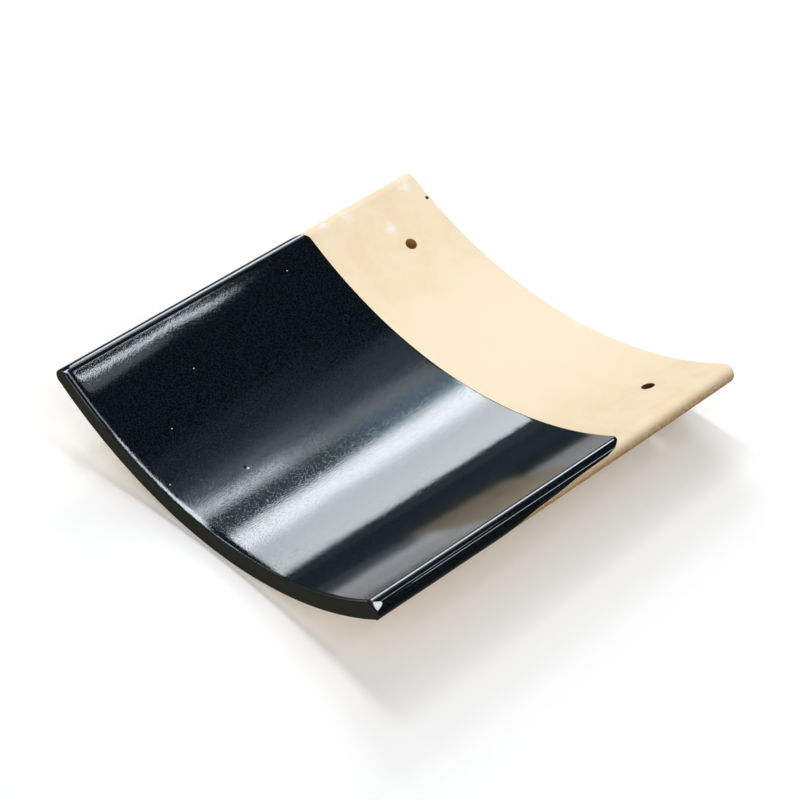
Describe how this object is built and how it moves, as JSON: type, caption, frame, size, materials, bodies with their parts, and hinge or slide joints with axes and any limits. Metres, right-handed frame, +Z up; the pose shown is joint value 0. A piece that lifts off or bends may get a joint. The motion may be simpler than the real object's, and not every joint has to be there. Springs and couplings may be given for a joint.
{
  "type": "clay roof tile",
  "caption": "Trough-shaped clay roof tile with round sides, a gloss black glazed face, and a bare clay head with nail holes that the next tile up covers.",
  "frame": {"origin": "on the floor under the middle of the tile, where the tile's belly rests", "axes": "+X across the tile, +Y up the roof from the glazed tail to the bare head, +Z up out of the trough"},
  "size_m": [0.2898, 0.3, 0.0565],
  "materials": {
    "clay": "matte",
    "glaze": "gloss"
  },
  "bodies": {
    "root": {"roof_tile": "clay"}
  },
  "joints": []
}
